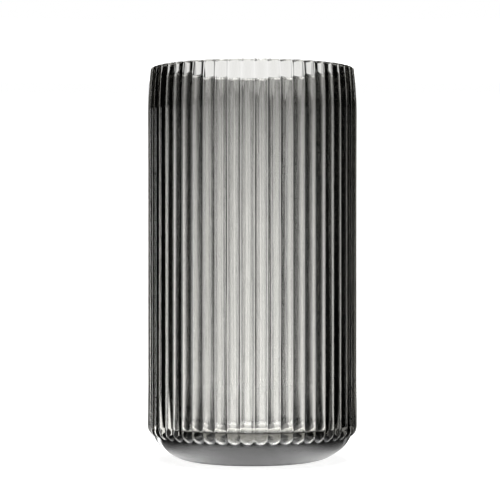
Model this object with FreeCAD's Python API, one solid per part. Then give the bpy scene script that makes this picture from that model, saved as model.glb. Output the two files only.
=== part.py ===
import FreeCAD, Part
import math
import os

# A glass cylinder vase: a straight wall of upright half-round ribs on a smooth rounded base.
# The vase is one piece of glass. It is held here as two solids that meet face to face where
# the inside stops being straight, so that each has a simple shape: the ribbed wall and the base.
# Millimetres, +Z up. The origin is the middle of the foot, on the surface the vase stands on.

HEIGHT = 250.0
CREST_RADIUS = 66.8          # outside, over the ribs
GROOVE_RADIUS = 65.4         # outside, at the bottom of the grooves
BORE_RADIUS = 60.8           # inside, smooth and round
RIB_COUNT = 51

# Outside of the base: a quarter ellipse from the foot up to just inside the grooves.
FOOT_RADIUS = 38.0
BASE_RADIUS = 65.0
BASE_HEIGHT = 25.0

# Each rib is a round rod sunk into the wall, with a rounded toe at its lower end.
TOE_START_Z = 21.5
TOE_LENGTH = 6.4

# Inside of the base: a flat floor and a quarter ellipse up to the straight bore.
FLOOR_Z = 15.0
FLOOR_RADIUS = 50.0
BORE_START_Z = 23.0

# Underside: a flat ring to stand on, with a shallow dome inside it.
PUNT_RADIUS = 33.0
PUNT_DEPTH = 1.5

# Rim: the whole wall bends in a little towards it, and both of its edges are rounded.
LEAN_START_Z = 220.0
LEAN_RADIUS = 250.0          # of the bend, measured to the crests
RIM_ROUND = 1.4

MARGIN = 10.0                # how far a cutting shape passes the glass
UP = FreeCAD.Vector(0, 0, 1)
ORIGIN = FreeCAD.Vector(0, 0, 0)


def point(radius, height):
    return FreeCAD.Vector(radius, 0, height)


def path(*points):
    """Straight edges from each point to the next."""
    return [Part.LineSegment(a, b).toShape() for a, b in zip(points, points[1:])]


def arc(start, middle, end):
    return [Part.Arc(start, middle, end).toShape()]


def lower_quarter(center, radial, vertical):
    """The quarter of an ellipse between its side and the point straight below its centre."""
    side = center + point(radial, 0)
    bottom = center - point(0, vertical)
    long_end, short_end = (side, bottom) if radial > vertical else (bottom, side)
    return [Part.Ellipse(long_end, short_end, center).toShape(0, math.pi / 2)]


def upper_quarter(center, radius, side):
    """A quarter circle above its centre: side is 1 to bulge outwards and -1 inwards."""
    step = radius / math.sqrt(2)
    return arc(center + point(side * radius, 0), center + point(side * step, step),
               center + point(0, radius))


def leaned(radius, height):
    """Where a wall surface of this radius is, at a height above the start of the lean."""
    bend = LEAN_RADIUS - CREST_RADIUS + radius
    rise = height - LEAN_START_Z
    return point(radius - bend + math.sqrt(bend ** 2 - rise ** 2), height)


def leaning(radius, top):
    """The bent upper part of a wall surface, from the start of the lean."""
    return arc(point(radius, LEAN_START_Z), leaned(radius, (LEAN_START_Z + top) / 2),
               leaned(radius, top))


def revolved(*edge_lists):
    edges = Part.__sortEdges__(sum(edge_lists, []))
    return Part.Face(Part.Wire(edges)).revolve(ORIGIN, UP, 360)


def rod_radius():
    """Radius of the rods whose surfaces cross at the groove radius, half a pitch apart."""
    half_pitch = math.pi / RIB_COUNT
    across = GROOVE_RADIUS * math.sin(half_pitch)
    drop = CREST_RADIUS - GROOVE_RADIUS * math.cos(half_pitch)
    return (across ** 2 + drop ** 2) / (2 * drop)


def core():
    """The round wall behind the ribs and the outside of the base, filled in."""
    centre = point(FOOT_RADIUS, BASE_HEIGHT)
    return revolved(lower_quarter(centre, BASE_RADIUS - FOOT_RADIUS, BASE_HEIGHT),
                    path(point(BASE_RADIUS, BASE_HEIGHT), point(BASE_RADIUS, LEAN_START_Z)),
                    leaning(BASE_RADIUS, HEIGHT),
                    path(leaned(BASE_RADIUS, HEIGHT), point(0, HEIGHT), ORIGIN,
                         point(FOOT_RADIUS, 0)))


def rib():
    """The rod at the angle zero: its toe, its straight length and its bent top."""
    radius = rod_radius()
    toe_centre = point(0, TOE_START_Z)
    rod = revolved(lower_quarter(toe_centre, radius, TOE_LENGTH),
                   path(toe_centre + point(radius, 0), point(radius, LEAN_START_Z),
                        point(0, LEAN_START_Z), toe_centre - point(0, TOE_LENGTH)))
    rod.translate(point(CREST_RADIUS - radius, 0))
    ring = Part.Circle(point(CREST_RADIUS - radius, LEAN_START_Z), UP, radius).toShape()
    section = Part.Face(Part.Wire(ring))
    bend_centre = point(CREST_RADIUS - LEAN_RADIUS, LEAN_START_Z)
    turn = math.degrees(math.asin((HEIGHT + RIM_ROUND - LEAN_START_Z) / (LEAN_RADIUS - 2 * radius)))
    top = section.revolve(bend_centre, FreeCAD.Vector(0, -1, 0), turn)
    return rod.fuse(top)


def ribs():
    first = rib()
    rods = []
    for number in range(RIB_COUNT):
        rod = first.copy()
        rod.rotate(ORIGIN, UP, number * 360 / RIB_COUNT)
        rods.append(rod)
    return rods


def rim_limit():
    """Everything under the rim, with its outer edge rounded off."""
    lip = leaned(CREST_RADIUS, HEIGHT - RIM_ROUND)
    round_centre = lip - point(RIM_ROUND, 0)
    far = point(CREST_RADIUS + MARGIN, LEAN_START_Z)
    return revolved(path(lip, far, point(far.x, -MARGIN), point(0, -MARGIN), point(0, HEIGHT),
                         round_centre + point(0, RIM_ROUND)),
                    upper_quarter(round_centre, RIM_ROUND, 1))


def inside():
    """The air in the vase, with the rounded inner edge of the rim."""
    lip = leaned(BORE_RADIUS, HEIGHT - RIM_ROUND)
    edge = lip + point(RIM_ROUND, RIM_ROUND)
    bottom = point(FLOOR_RADIUS, BORE_START_Z)
    return revolved(lower_quarter(bottom, BORE_RADIUS - FLOOR_RADIUS, BORE_START_Z - FLOOR_Z),
                    path(point(BORE_RADIUS, BORE_START_Z), point(BORE_RADIUS, LEAN_START_Z)),
                    leaning(BORE_RADIUS, HEIGHT - RIM_ROUND),
                    upper_quarter(lip + point(RIM_ROUND, 0), RIM_ROUND, -1),
                    path(edge, edge + point(0, MARGIN), point(0, HEIGHT + MARGIN),
                         point(0, FLOOR_Z), point(FLOOR_RADIUS, FLOOR_Z)))


def punt():
    """The shallow dome under the foot."""
    radius = (PUNT_RADIUS ** 2 + PUNT_DEPTH ** 2) / (2 * PUNT_DEPTH)
    return Part.makeSphere(radius, point(0, PUNT_DEPTH - radius))


def glass():
    solid = core().multiFuse(ribs())
    solid = solid.common(rim_limit())
    return solid.cut([inside(), punt()])


def slab(low, high):
    """Everything between two heights, to divide the glass with."""
    side = 2 * (CREST_RADIUS + MARGIN)
    return Part.makeBox(side, side, high - low, FreeCAD.Vector(-side / 2, -side / 2, low))


def save(name, shape):
    solids = shape.removeSplitter().Solids
    solid = solids[0] if len(solids) == 1 else Part.makeCompound(solids)
    solid.exportStep(f"parts/{name}.step")
    print(name, len(solids), "solid", round(solid.Volume / 1000, 1), "cm3", solid.isValid())


os.makedirs("parts", exist_ok=True)
whole = glass()
save("ribbed_wall", whole.common(slab(BORE_START_Z, HEIGHT + MARGIN)))
save("rounded_base", whole.common(slab(-MARGIN, BORE_START_Z)))
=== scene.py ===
import math

import bpy
import numpy as np
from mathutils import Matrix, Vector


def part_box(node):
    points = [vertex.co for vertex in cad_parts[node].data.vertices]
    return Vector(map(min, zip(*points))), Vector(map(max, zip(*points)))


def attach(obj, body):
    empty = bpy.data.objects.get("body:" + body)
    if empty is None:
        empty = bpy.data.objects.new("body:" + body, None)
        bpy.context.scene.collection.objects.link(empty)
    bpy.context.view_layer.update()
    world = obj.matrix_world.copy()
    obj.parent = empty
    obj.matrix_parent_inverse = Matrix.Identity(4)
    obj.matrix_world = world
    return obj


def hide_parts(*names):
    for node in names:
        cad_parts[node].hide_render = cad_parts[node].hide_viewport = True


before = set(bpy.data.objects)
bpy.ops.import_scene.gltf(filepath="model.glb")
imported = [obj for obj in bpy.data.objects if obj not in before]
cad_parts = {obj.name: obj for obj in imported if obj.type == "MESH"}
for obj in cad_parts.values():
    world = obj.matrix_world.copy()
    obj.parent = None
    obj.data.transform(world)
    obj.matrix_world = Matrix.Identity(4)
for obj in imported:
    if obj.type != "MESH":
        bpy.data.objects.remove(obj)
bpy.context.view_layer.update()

# A tall vase of smoke-grey glass: shallow round upright ribs on a smooth rounded base.
# Metres, +Z up, the foot's middle at the origin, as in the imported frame.

MM = 0.001
WALL_LOW, WALL_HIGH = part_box("ribbed_wall")
HEIGHT = WALL_HIGH[2]
CREST_RADIUS = WALL_HIGH[0]
BORE_START_Z = WALL_LOW[2]
GROOVE_RADIUS = 65.4 * MM
BORE_RADIUS = 60.8 * MM
RIB_COUNT = 51

FOOT_RADIUS = 38.0 * MM
BASE_RADIUS = 65.0 * MM
BASE_HEIGHT = 25.0 * MM
TOE_START_Z = 21.5 * MM
TOE_END_Z = 15.2 * MM
TOE_LENGTH = 6.4 * MM
FLOOR_Z = 15.0 * MM
FLOOR_RADIUS = 50.0 * MM
PUNT_RADIUS = 33.0 * MM
PUNT_DEPTH = 1.5 * MM
RIM_ROUND = 1.4 * MM
LEAN_START_Z = 220.0 * MM
LEAN_RADIUS = 250.0 * MM     # the bend of the wall towards the rim
SOFTNESS = 0.4 * MM          # how far the sharp inner corners of the ribs are melted round

# The slow unevenness of the blown inside: (waves around, turn from foot to rim in radians, start, height)
WAVES = (
    (5, 3.1, 0.4, 0.14 * MM),
    (8, -4.3, 2.1, 0.10 * MM),
    (13, 5.7, 4.0, 0.07 * MM),
    (21, -7.9, 1.2, 0.03 * MM),
)
WAVES_FADE = 18.0 * MM       # over this height the waves die away towards the rim and the bottom of the bore

# How finely the mesh is cut: steps across a rib, and rings of points up each stretch of the outline
STEPS_PER_RIB = 14
EDGE_STEP = 0.15 * MM        # from an edge to the extra ring beside it
PUNT_PARTS = (0.25, 0.5, 0.75, 0.93, 1.0)
BASE_RINGS = 20
TOE_RINGS = 26
WALL_RINGS = 6
LEAN_RINGS = 9
LIP_RINGS = 7
BORE_RINGS = 32
INNER_BOTTOM_RINGS = 15
FLOOR_PARTS = (0.75, 0.5, 0.25)


# ---------- The shape of the glass, as radius by angle and height ----------

HALF_PITCH = math.pi / RIB_COUNT
ACROSS = GROOVE_RADIUS * math.sin(HALF_PITCH)
DROP = CREST_RADIUS - GROOVE_RADIUS * math.cos(HALF_PITCH)
ROD_RADIUS = (ACROSS ** 2 + DROP ** 2) / (2 * DROP)
ROD_CENTRE = CREST_RADIUS - ROD_RADIUS


def column_angles():
    """Angles of the mesh's columns across one rib, even along the rib's own curve."""
    reach = math.asin(ACROSS / ROD_RADIUS)
    along = np.linspace(-reach, reach, STEPS_PER_RIB + 1)[:-1]
    return np.arctan2(ROD_RADIUS * np.sin(along), ROD_CENTRE + ROD_RADIUS * np.cos(along))


IN_RIB = np.tile(column_angles(), RIB_COUNT)
AROUND = IN_RIB + np.repeat(np.arange(RIB_COUNT), STEPS_PER_RIB) * 2 * HALF_PITCH


def smooth_max(a, b, width):
    overlap = np.maximum(width - np.abs(a - b), 0) / width
    return np.maximum(a, b) + overlap ** 2 * width / 4


def base_radius(height):
    """The smooth outside under the ribs, at one height."""
    down = max(BASE_HEIGHT - height, 0) / BASE_HEIGHT
    return FOOT_RADIUS + (BASE_RADIUS - FOOT_RADIUS) * math.sqrt(1 - down ** 2)


def lean(height):
    """How far the wall leans in at this height."""
    rise = max(height - LEAN_START_Z, 0)
    return LEAN_RADIUS - math.sqrt(LEAN_RADIUS ** 2 - rise ** 2)


def outer_radius(height):
    """The outside with its ribs, at one height, for every column."""
    past_start = min(max(TOE_START_Z - height, 0) / TOE_LENGTH, 1)
    thickness = ROD_RADIUS * math.sqrt(1 - past_start ** 2)
    inside_rod = thickness ** 2 - (ROD_CENTRE * np.sin(IN_RIB)) ** 2
    rib = ROD_CENTRE * np.cos(IN_RIB) + np.sign(inside_rod) * np.sqrt(np.abs(inside_rod))
    return smooth_max(rib, base_radius(height), SOFTNESS) - lean(height)


def bore_radius(height):
    """The inside at one height, for every column: round but for its slow waves."""
    along = height / HEIGHT
    wave = sum(rise * np.sin(around * AROUND + turn * along + start) for around, turn, start, rise in WAVES)
    fade = min(max((height - BORE_START_Z) / WAVES_FADE, 0), max((HEIGHT - height) / WAVES_FADE, 0), 1)
    return BORE_RADIUS + wave * fade - lean(height)


def steps_to(start, end, count):
    """Heights after the start, with one just before the end so that the shading doesn't spill over it."""
    near = end - math.copysign(EDGE_STEP, end - start)
    return [*np.linspace(start, near, count)[1:], end]


def glass_rings():
    """Rings of points from under the foot, up the outside, over the rim and down the inside."""
    even = np.ones_like(AROUND)
    rings = []
    for part in PUNT_PARTS:
        rings.append((part * PUNT_RADIUS * even, PUNT_DEPTH * (1 - part ** 2)))
    steepest = math.acos(1 - TOE_END_Z / BASE_HEIGHT)
    for turn in np.linspace(0, steepest, BASE_RINGS):
        height = BASE_HEIGHT * (1 - math.cos(turn))
        rings.append((base_radius(height) * even, height))
    for height in np.linspace(TOE_END_Z, BASE_HEIGHT, TOE_RINGS)[1:]:
        rings.append((outer_radius(height), height))
    for height in np.linspace(BASE_HEIGHT, LEAN_START_Z, WALL_RINGS)[1:]:
        rings.append((outer_radius(height), height))
    lip_height = HEIGHT - RIM_ROUND
    leaning = steps_to(LEAN_START_Z, lip_height, LEAN_RINGS)
    for height in leaning:
        rings.append((outer_radius(height), height))
    lip = outer_radius(lip_height)
    for turn in np.linspace(0, math.pi / 2, LIP_RINGS)[1:]:
        rings.append((lip - RIM_ROUND * (1 - math.cos(turn)), lip_height + RIM_ROUND * math.sin(turn)))
    inner_lip = bore_radius(lip_height)
    for turn in np.linspace(math.pi / 2, 0, LIP_RINGS):
        rings.append((inner_lip + RIM_ROUND * (1 - math.cos(turn)), lip_height + RIM_ROUND * math.sin(turn)))
    for height in [*leaning[-2::-1], LEAN_START_Z, *steps_to(LEAN_START_Z, BORE_START_Z, BORE_RINGS)]:
        rings.append((bore_radius(height), height))
    for turn in np.linspace(math.pi / 2, 0, INNER_BOTTOM_RINGS)[1:]:
        rings.append(((FLOOR_RADIUS + (BORE_RADIUS - FLOOR_RADIUS) * math.sin(turn)) * even,
                      BORE_START_Z - (BORE_START_Z - FLOOR_Z) * math.cos(turn)))
    for part in FLOOR_PARTS:
        rings.append((part * FLOOR_RADIUS * even, FLOOR_Z))
    return rings


def glass_mesh():
    rings = glass_rings()
    columns = len(AROUND)
    points = [np.column_stack([radius * np.cos(AROUND), radius * np.sin(AROUND), np.full(columns, height)])
              for radius, height in rings]
    points = np.vstack(points + [[[0, 0, PUNT_DEPTH], [0, 0, FLOOR_Z]]])
    here = np.arange(columns)
    beside = (here + 1) % columns
    faces = []
    for row in range(len(rings) - 1):
        low = row * columns
        high = low + columns
        faces += np.column_stack([low + here, low + beside, high + beside, high + here]).tolist()
    under = len(points) - 2
    floor = len(points) - 1
    last = (len(rings) - 1) * columns
    faces += np.column_stack([np.full(columns, under), beside, here]).tolist()
    faces += np.column_stack([np.full(columns, floor), last + here, last + beside]).tolist()
    mesh = bpy.data.meshes.new("vase_glass")
    mesh.from_pydata(points.tolist(), [], faces)
    mesh.validate()
    mesh.shade_smooth()
    return mesh


# ---------- Materials ----------

def new_material(name):
    material = bpy.data.materials.new(name)
    material.use_nodes = True
    material.node_tree.nodes.clear()
    return material, material.node_tree.nodes, material.node_tree.links


def math_node(nodes, links, operation, first, second):
    node = nodes.new("ShaderNodeMath")
    node.operation = operation
    for socket, value in zip(node.inputs, (first, second)):
        if isinstance(value, (int, float)):
            socket.default_value = value
        else:
            links.new(value, socket)
    return node.outputs[0]


def dot_with(nodes, links, vector, axis):
    node = nodes.new("ShaderNodeVectorMath")
    node.operation = "DOT_PRODUCT"
    links.new(vector, node.inputs[0])
    node.inputs[1].default_value = axis
    return node.outputs["Value"]


def smooth_step(nodes, links, value, low, high):
    node = nodes.new("ShaderNodeMapRange")
    node.interpolation_type = "SMOOTHSTEP"
    links.new(value, node.inputs["Value"])
    node.inputs["From Min"].default_value = low
    node.inputs["From Max"].default_value = high
    return node.outputs["Result"]


def fade_out(nodes, links, value, low, high):
    """One below the low value, nothing above the high one."""
    return math_node(nodes, links, "SUBTRACT", 1.0, smooth_step(nodes, links, value, low, high))


def stretched(nodes, links, vector, factors):
    product = nodes.new("ShaderNodeVectorMath")
    product.operation = "MULTIPLY"
    links.new(vector, product.inputs[0])
    product.inputs[1].default_value = factors
    return product.outputs[0]


def noise(nodes, links, place, stretch, scale, detail):
    """A cloudy pattern in the object's own space, drawn out by the stretch."""
    drawn = stretched(nodes, links, place, stretch)
    pattern = nodes.new("ShaderNodeTexNoise")
    links.new(drawn, pattern.inputs["Vector"])
    pattern.inputs["Scale"].default_value = scale
    pattern.inputs["Detail"].default_value = detail
    return pattern.outputs["Fac"]


GLASS_IOR = 1.5
GLASS_TINT = (0.09, 0.08, 0.03, 1)
TINT_DENSITY = 80
GLASS_ROUGHNESS = 0.01
BASE_ROUGHNESS = 0.16             # the most that the clouds of the base add to it
BASE_SKIN_EDGE = (0.013, 0.020)   # heights over which the cloudy skin of the base gives way to bright glass
RELIEF = 0.12 * MM
DRAW_LINES_SHARE = 0.2
# Stretch, scale and detail of the two patterns in the skin
DRAW_LINES = ((1, 1, 0.06), 300, 3)
CLOUDS = ((1, 1, 1.6), 95, 5)


def smoke_glass():
    """Grey glass, tinted through its thickness, with upright draw lines and a cloudier base."""
    material, nodes, links = new_material("smoke_glass")
    output = nodes.new("ShaderNodeOutputMaterial")
    glass = nodes.new("ShaderNodeBsdfPrincipled")
    glass.inputs["Base Color"].default_value = (1, 1, 1, 1)
    glass.inputs["IOR"].default_value = GLASS_IOR
    glass.inputs["Transmission Weight"].default_value = 1.0
    place = nodes.new("ShaderNodeTexCoord").outputs["Object"]
    height = dot_with(nodes, links, place, (0, 0, 1))
    skin = fade_out(nodes, links, height, *BASE_SKIN_EDGE)
    draw_lines = noise(nodes, links, place, *DRAW_LINES)
    clouds = noise(nodes, links, place, *CLOUDS)
    clouds = math_node(nodes, links, "MULTIPLY", clouds, skin)
    draw_lines = math_node(nodes, links, "MULTIPLY", draw_lines, DRAW_LINES_SHARE)
    relief = math_node(nodes, links, "ADD", draw_lines, clouds)
    bump = nodes.new("ShaderNodeBump")
    bump.inputs["Distance"].default_value = RELIEF
    links.new(relief, bump.inputs["Height"])
    links.new(bump.outputs["Normal"], glass.inputs["Normal"])
    roughness = math_node(nodes, links, "MULTIPLY", clouds, BASE_ROUGHNESS)
    links.new(math_node(nodes, links, "ADD", roughness, GLASS_ROUGHNESS), glass.inputs["Roughness"])
    absorb = nodes.new("ShaderNodeVolumeAbsorption")
    absorb.inputs["Color"].default_value = GLASS_TINT
    absorb.inputs["Density"].default_value = TINT_DENSITY
    links.new(glass.outputs["BSDF"], output.inputs["Surface"])
    links.new(absorb.outputs["Volume"], output.inputs["Volume"])
    return material


# Light panels around the vase: (bearing from +Y towards +X, half width, edge softness, strength), in degrees
PANELS = (
    (-4, 16, 8, 1.85),
    (-75, 9, 8, 2.7),
    (75, 7, 6, 0.6),
    (180, 16, 8, 0.9),
)


def sector_sum(nodes, links, flat_direction, panels):
    """Brightness by bearing: each panel is a sector with soft edges."""
    total = None
    for bearing, half_width, softness, strength in panels:
        angle = math.radians(bearing)
        facing = dot_with(nodes, links, flat_direction, (math.sin(angle), math.cos(angle), 0))
        inner = math.cos(math.radians(half_width - softness / 2))
        outer = math.cos(math.radians(half_width + softness / 2))
        lit = math_node(nodes, links, "MULTIPLY", smooth_step(nodes, links, facing, outer, inner), strength)
        total = lit if total is None else math_node(nodes, links, "ADD", total, lit)
    return total


def flattened(nodes, links, vector):
    """The vector's level direction, one long."""
    level = stretched(nodes, links, vector, (1, 1, 0))
    unit = nodes.new("ShaderNodeVectorMath")
    unit.operation = "NORMALIZE"
    links.new(level, unit.inputs[0])
    return unit.outputs[0]


FLOOR_SOLID_RADIUS = 0.35
FLOOR_FADE_RADIUS = 0.75
# Painted light and shade on the table as the glass sees it. Pairs are distances over which it changes, in
# metres.
PAINTED_LIGHT_DISCS = (((0.11, 0.15), 1.0), ((0.066, 0.080), 4.4))   # painted pools of light round the vase: (where the disc ends, its strength)
TABLE_SIDES = (0.030, 0.068)       # distance aside, along X, over which painted shade dims the discs
SIDES_DIMMED = 0.88                # the part of their glow that they lose there
FAR_GLOW = 1.2                     # painted light: the panels' sectors, laid out on the table
FOOT_SHADE = (0.039, 0.062)        # painted shadow: dark inside this, beside the foot
UNDER_FOOT = (0.031, 0.036)        # and painted light again inside this, under the dome of the foot
UNDER_FOOT_GLOW = 2.4
# The table as the camera sees it: an even glow, and paint that takes the vase's faint shadow
FLOOR_GLOW = 0.88
FLOOR_PAINT = 0.5


def disc(nodes, links, distance, edge, strength):
    return math_node(nodes, links, "MULTIPLY", fade_out(nodes, links, distance, *edge), strength)


def pale_floor():
    """A pale table that melts into the surroundings: an even glow to the camera; to the glass, a glow with
    painted light round the vase and painted shade beside the foot and at the sides.
    """
    material, nodes, links = new_material("pale_floor")
    output = nodes.new("ShaderNodeOutputMaterial")
    place = nodes.new("ShaderNodeTexCoord").outputs["Object"]
    length = nodes.new("ShaderNodeVectorMath")
    length.operation = "LENGTH"
    links.new(place, length.inputs[0])
    distance = length.outputs["Value"]
    aside = math_node(nodes, links, "ABSOLUTE", dot_with(nodes, links, place, (1, 0, 0)), 0)
    sides = smooth_step(nodes, links, aside, *TABLE_SIDES)
    dimming = math_node(nodes, links, "MULTIPLY", sides, SIDES_DIMMED)
    between = math_node(nodes, links, "SUBTRACT", 1.0, dimming)
    # painted light of the panels, laid out on the table
    sectors = sector_sum(nodes, links, flattened(nodes, links, place), PANELS)
    glow = math_node(nodes, links, "MULTIPLY", sectors, FAR_GLOW)
    # painted pools of light round the vase, dimmed by painted shade at the sides
    for edge, strength in PAINTED_LIGHT_DISCS:
        near = math_node(nodes, links, "MULTIPLY", disc(nodes, links, distance, edge, strength), between)
        glow = math_node(nodes, links, "MAXIMUM", glow, near)
    # painted shadow beside the foot
    glow = math_node(nodes, links, "MULTIPLY", glow, smooth_step(nodes, links, distance, *FOOT_SHADE))
    # painted light under the dome of the foot
    under = disc(nodes, links, distance, UNDER_FOOT, UNDER_FOOT_GLOW)
    glow = math_node(nodes, links, "MAXIMUM", glow, under)
    seen = nodes.new("ShaderNodeLightPath").outputs["Is Camera Ray"]
    level = nodes.new("ShaderNodeMix")
    level.data_type = "FLOAT"
    to_glass, to_camera = level.inputs[2:4]
    links.new(seen, level.inputs["Factor"])
    links.new(glow, to_glass)
    to_camera.default_value = FLOOR_GLOW
    shine = nodes.new("ShaderNodeEmission")
    links.new(level.outputs[0], shine.inputs["Strength"])
    paint = nodes.new("ShaderNodeBsdfDiffuse")
    links.new(math_node(nodes, links, "MULTIPLY", seen, FLOOR_PAINT), paint.inputs["Color"])
    table = nodes.new("ShaderNodeAddShader")
    links.new(shine.outputs["Emission"], table.inputs[0])
    links.new(paint.outputs["BSDF"], table.inputs[1])
    nothing = nodes.new("ShaderNodeBsdfTransparent")
    mix = nodes.new("ShaderNodeMixShader")
    links.new(smooth_step(nodes, links, distance, FLOOR_SOLID_RADIUS, FLOOR_FADE_RADIUS), mix.inputs["Fac"])
    links.new(table.outputs["Shader"], mix.inputs[1])
    links.new(nothing.outputs["BSDF"], mix.inputs[2])
    links.new(mix.outputs["Shader"], output.inputs["Surface"])
    return material


# ---------- Studio ----------

def add_floor():
    size = FLOOR_FADE_RADIUS
    corners = [(-size, -size, 0), (size, -size, 0), (size, size, 0), (-size, size, 0)]
    mesh = bpy.data.meshes.new("studio_floor")
    mesh.from_pydata(corners, [], [(0, 1, 2, 3)])
    floor = bpy.data.objects.new("studio_floor", mesh)
    bpy.context.scene.collection.objects.link(floor)
    floor.data.materials.append(pale_floor())


# Light of the world by direction. Heights are the z of a direction one long.
# Brightness of the panels by height, low to high
HEIGHT_LIGHT = ((-0.10, 1.4), (-0.03, 1.15), (0.02, 1.05), (0.055, 0.86), (0.092, 0.51))
HEIGHT_SPAN = (-0.15, 0.15)        # the heights at the two ends of the ramp
UPPER_PANELS = (
    (0, 21, 8, 1.4),
)
UPPER_EDGE = (0.0940, 0.0960)      # where the upper strip takes over from the panels
UPPER_END = (0.125, 0.135)         # and where it ends
STEEP_DOWN = (0.14, 0.24)          # how far down a direction points for the world to turn white
SHADE = 0.004                      # what is left between the panels


def studio_world():
    """Panels behind, at the sides and in front, with a strip above the one behind; white to the camera."""
    world = bpy.data.worlds.new("studio")
    world.use_nodes = True
    nodes = world.node_tree.nodes
    links = world.node_tree.links
    background = nodes["Background"]
    direction = nodes.new("ShaderNodeTexCoord").outputs["Generated"]
    level = flattened(nodes, links, direction)
    height = dot_with(nodes, links, direction, (0, 0, 1))
    low, high = HEIGHT_SPAN
    above_low = math_node(nodes, links, "SUBTRACT", height, low)
    ramp_place = math_node(nodes, links, "DIVIDE", above_low, high - low)
    ramp = nodes.new("ShaderNodeValToRGB")
    while len(ramp.color_ramp.elements) < len(HEIGHT_LIGHT):
        ramp.color_ramp.elements.new(0.5)
    for stop, (rise, light) in zip(ramp.color_ramp.elements, HEIGHT_LIGHT):
        stop.position = (rise - low) / (high - low)
        stop.color = (light, light, light, 1)
    links.new(ramp_place, ramp.inputs["Fac"])
    above = smooth_step(nodes, links, height, *UPPER_EDGE)
    below = math_node(nodes, links, "SUBTRACT", 1.0, above)
    sectors = sector_sum(nodes, links, level, PANELS)
    around = math_node(nodes, links, "MULTIPLY", sectors, ramp.outputs["Color"])
    around = math_node(nodes, links, "MULTIPLY", around, below)
    strip = math_node(nodes, links, "SUBTRACT", above, smooth_step(nodes, links, height, *UPPER_END))
    upper = math_node(nodes, links, "MULTIPLY", sector_sum(nodes, links, level, UPPER_PANELS), strip)
    lit = math_node(nodes, links, "ADD", around, upper)
    drop = math_node(nodes, links, "MULTIPLY", height, -1.0)
    lit = math_node(nodes, links, "MAXIMUM", lit, smooth_step(nodes, links, drop, *STEEP_DOWN))
    lit = math_node(nodes, links, "ADD", lit, SHADE)
    seen = nodes.new("ShaderNodeLightPath").outputs["Is Camera Ray"]
    lit = math_node(nodes, links, "MAXIMUM", lit, seen)
    links.new(lit, background.inputs["Strength"])
    background.inputs["Color"].default_value = (1, 1, 1, 1)
    bpy.context.scene.world = world


SOFTBOX_SIZE = 1.2
SOFTBOX_HEIGHT = 1.5
SOFTBOX_WATTS = 36


def add_softbox():
    data = bpy.data.lights.new("overhead_softbox", "AREA")
    data.shape = "SQUARE"
    data.size = SOFTBOX_SIZE
    data.energy = SOFTBOX_WATTS
    light = bpy.data.objects.new("overhead_softbox", data)
    light.location = (0, 0, SOFTBOX_HEIGHT)
    bpy.context.scene.collection.objects.link(light)


CAMERA_DISTANCE = 1.162
CAMERA_HEIGHT = 0.1303
CAMERA_TURN = math.radians(0.84)
LENS = 130.6                 # and the sensor's width, both in millimetres
SENSOR = 36.0
SHIFT = (-0.0048, 0.0116)    # a level camera, so the uprights stay upright


def add_camera():
    data = bpy.data.cameras.new("camera")
    data.lens = LENS
    data.sensor_width = SENSOR
    data.shift_x, data.shift_y = SHIFT
    camera = bpy.data.objects.new("camera", data)
    across = CAMERA_DISTANCE * math.sin(CAMERA_TURN)
    back = CAMERA_DISTANCE * math.cos(CAMERA_TURN)
    camera.location = (across, -back, CAMERA_HEIGHT)
    camera.rotation_euler = (math.pi / 2, 0, CAMERA_TURN)
    bpy.context.scene.collection.objects.link(camera)
    bpy.context.scene.camera = camera


PICTURE_GAMMA = 0.9
GLASS_BOUNCES = 32           # light crosses many walls of glass on its way through the ribs
GLOSSY_BOUNCES = 16


def set_look():
    scene = bpy.context.scene
    scene.view_settings.view_transform = "Standard"
    scene.view_settings.gamma = PICTURE_GAMMA
    scene.cycles.max_bounces = GLASS_BOUNCES
    scene.cycles.transmission_bounces = GLASS_BOUNCES
    scene.cycles.glossy_bounces = GLOSSY_BOUNCES


vase = bpy.data.objects.new("vase_glass", glass_mesh())
bpy.context.scene.collection.objects.link(vase)
vase.data.materials.append(smoke_glass())
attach(vase, "root")
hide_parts("ribbed_wall", "rounded_base")

add_floor()
studio_world()
add_softbox()
add_camera()
set_look()
